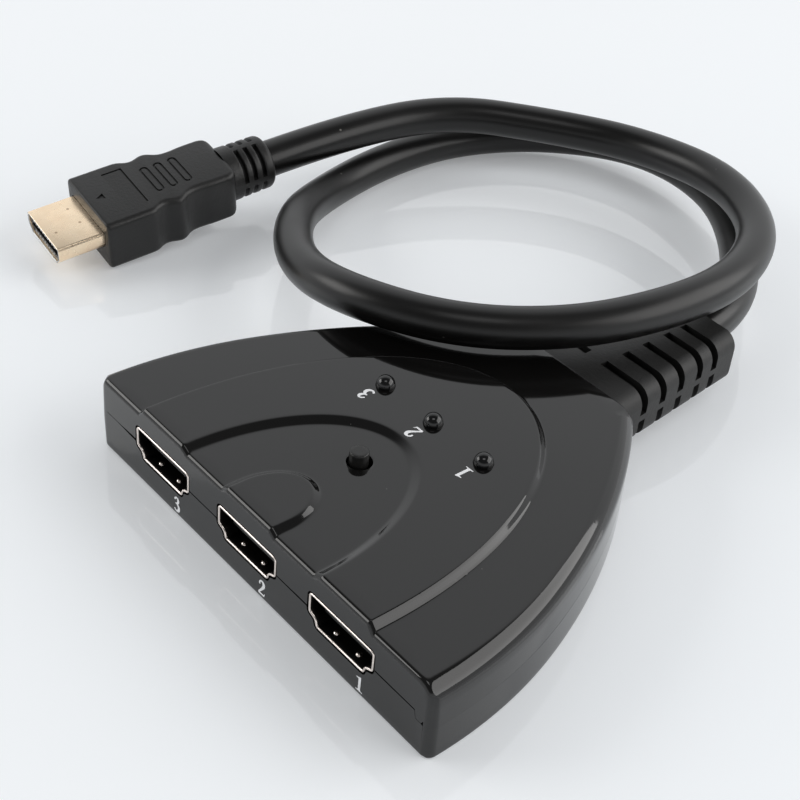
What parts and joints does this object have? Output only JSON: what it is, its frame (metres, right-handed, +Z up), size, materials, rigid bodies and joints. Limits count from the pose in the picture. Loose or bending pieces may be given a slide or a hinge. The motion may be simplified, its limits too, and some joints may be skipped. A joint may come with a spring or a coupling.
{
  "type": "hdmi switch box",
  "caption": "Fan-shaped box that switches several video sockets to one captive cord, with a push button, indicator lamps and a strain relief.",
  "frame": {"origin": "centre of the underside of the housing, on the surface it stands on", "axes": "+X along the row of sockets towards input 1, -Y out of the sockets, +Y towards the cord, +Z up"},
  "size_m": [0.1467, 0.1523, 0.0265],
  "materials": {
    "cover": "polished injection moulding",
    "screw_steel": "zinc plated",
    "board": "satin solder mask",
    "switch_plastic": "matte",
    "tinned_steel": "tinned",
    "button_plastic": "satin",
    "chip_resin": "matte resin",
    "capacitor_body": "ceramic",
    "relief_rubber": "fine grain",
    "cord_jacket": "satin jacket",
    "wire_insulation": "satin",
    "plug_rubber": "fine grain",
    "gold_plate": "plated",
    "socket_plastic": "matte",
    "contact_gold": "gold flash",
    "socket_metal": "nickel plated, drawn",
    "lens": "smoked, clear gloss"
  },
  "bodies": {
    "housing": {"top_cover": "cover", "bottom_cover": "cover", "cover_screws": "screw_steel", "circuit_board": "board", "switch_base": "switch_plastic", "switch_cover_plate": "tinned_steel", "switch_dome": "tinned_steel", "switch_terminals": "tinned_steel", "led_leads": "tinned_steel", "switch_chip": "chip_resin", "chip_leads": "tinned_steel", "capacitors": "capacitor_body", "resistors": "chip_resin", "strain_relief": "relief_rubber", "cord_inner_end": "cord_jacket", "cord_wires": "wire_insulation", "cord": "cord_jacket", "plug_moulding": "plug_rubber", "plug_shell": "gold_plate", "plug_insulator": "socket_plastic", "plug_contacts": "contact_gold", "socket_1_shell": "socket_metal", "socket_1_insulator": "socket_plastic", "socket_1_contacts": "contact_gold", "led_1_lens": "lens", "socket_2_shell": "socket_metal", "socket_2_insulator": "socket_plastic", "socket_2_contacts": "contact_gold", "led_2_lens": "lens", "socket_3_shell": "socket_metal", "socket_3_insulator": "socket_plastic", "socket_3_contacts": "contact_gold", "led_3_lens": "lens"},
    "select_button": {"select_button": "button_plastic"}
  },
  "joints": [
    {"name": "select_button_press", "type": "slide", "parent": "housing", "child": "select_button", "axis": [0, 0, -1], "range_m": [0, 0.00025], "stiffness_N_per_m": 8000, "springref_m": -0.00015, "deforming": ["switch_dome"]}
  ]
}
